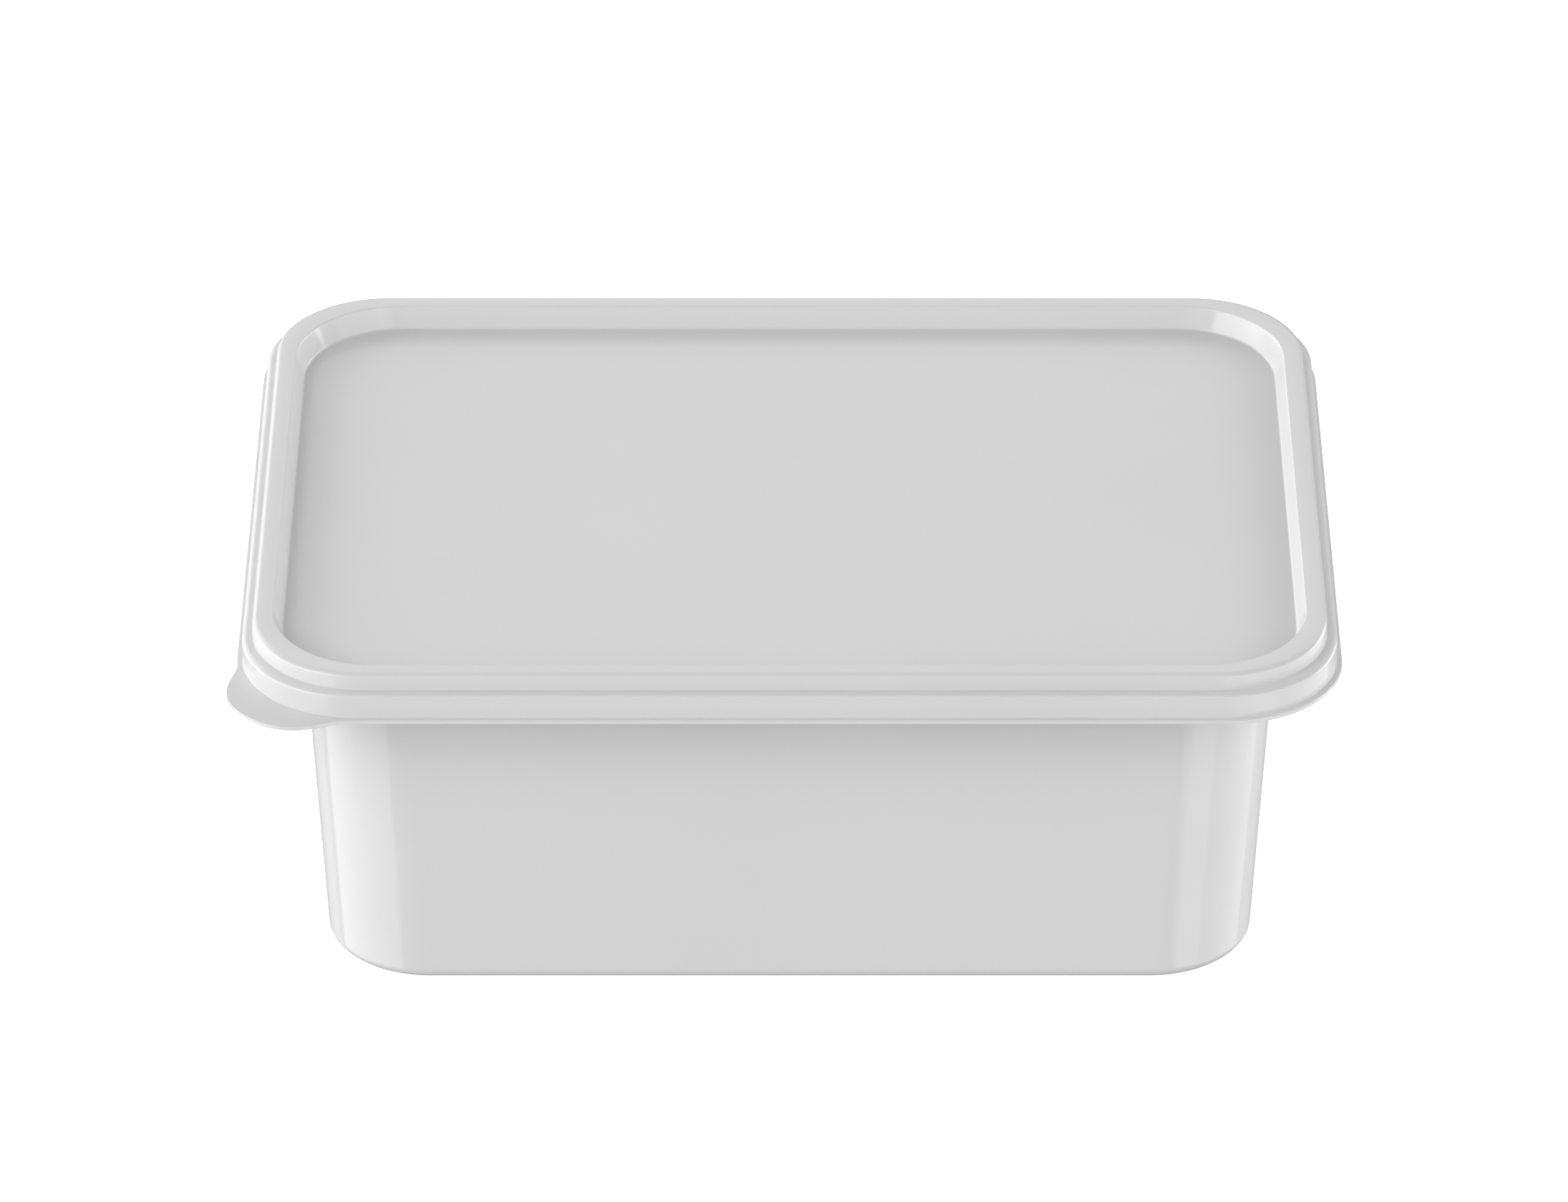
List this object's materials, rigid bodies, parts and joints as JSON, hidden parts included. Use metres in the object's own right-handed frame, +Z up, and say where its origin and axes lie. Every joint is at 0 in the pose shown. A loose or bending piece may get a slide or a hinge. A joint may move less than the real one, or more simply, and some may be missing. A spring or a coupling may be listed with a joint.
{
  "type": "plastic sweet box",
  "caption": "Shut rectangular tub of white moulded plastic with tapered walls and a push-fit lid that has a sunk top panel, a stepped skirt and a corner pull tab.",
  "frame": {"origin": "centre of the tub's flat base, on the surface that the box stands on", "axes": "+Z up through the lid, +X along the long side, -Y towards the front, with the pull tab at the -X -Y corner"},
  "size_m": [0.1913, 0.1381, 0.07],
  "materials": {
    "tub_plastic": "injection-moulded white polypropylene with a soft gloss",
    "lid_plastic": "injection-moulded white polypropylene with a soft gloss"
  },
  "bodies": {
    "root": {"tub": "tub_plastic", "lid": "lid_plastic"}
  },
  "joints": []
}
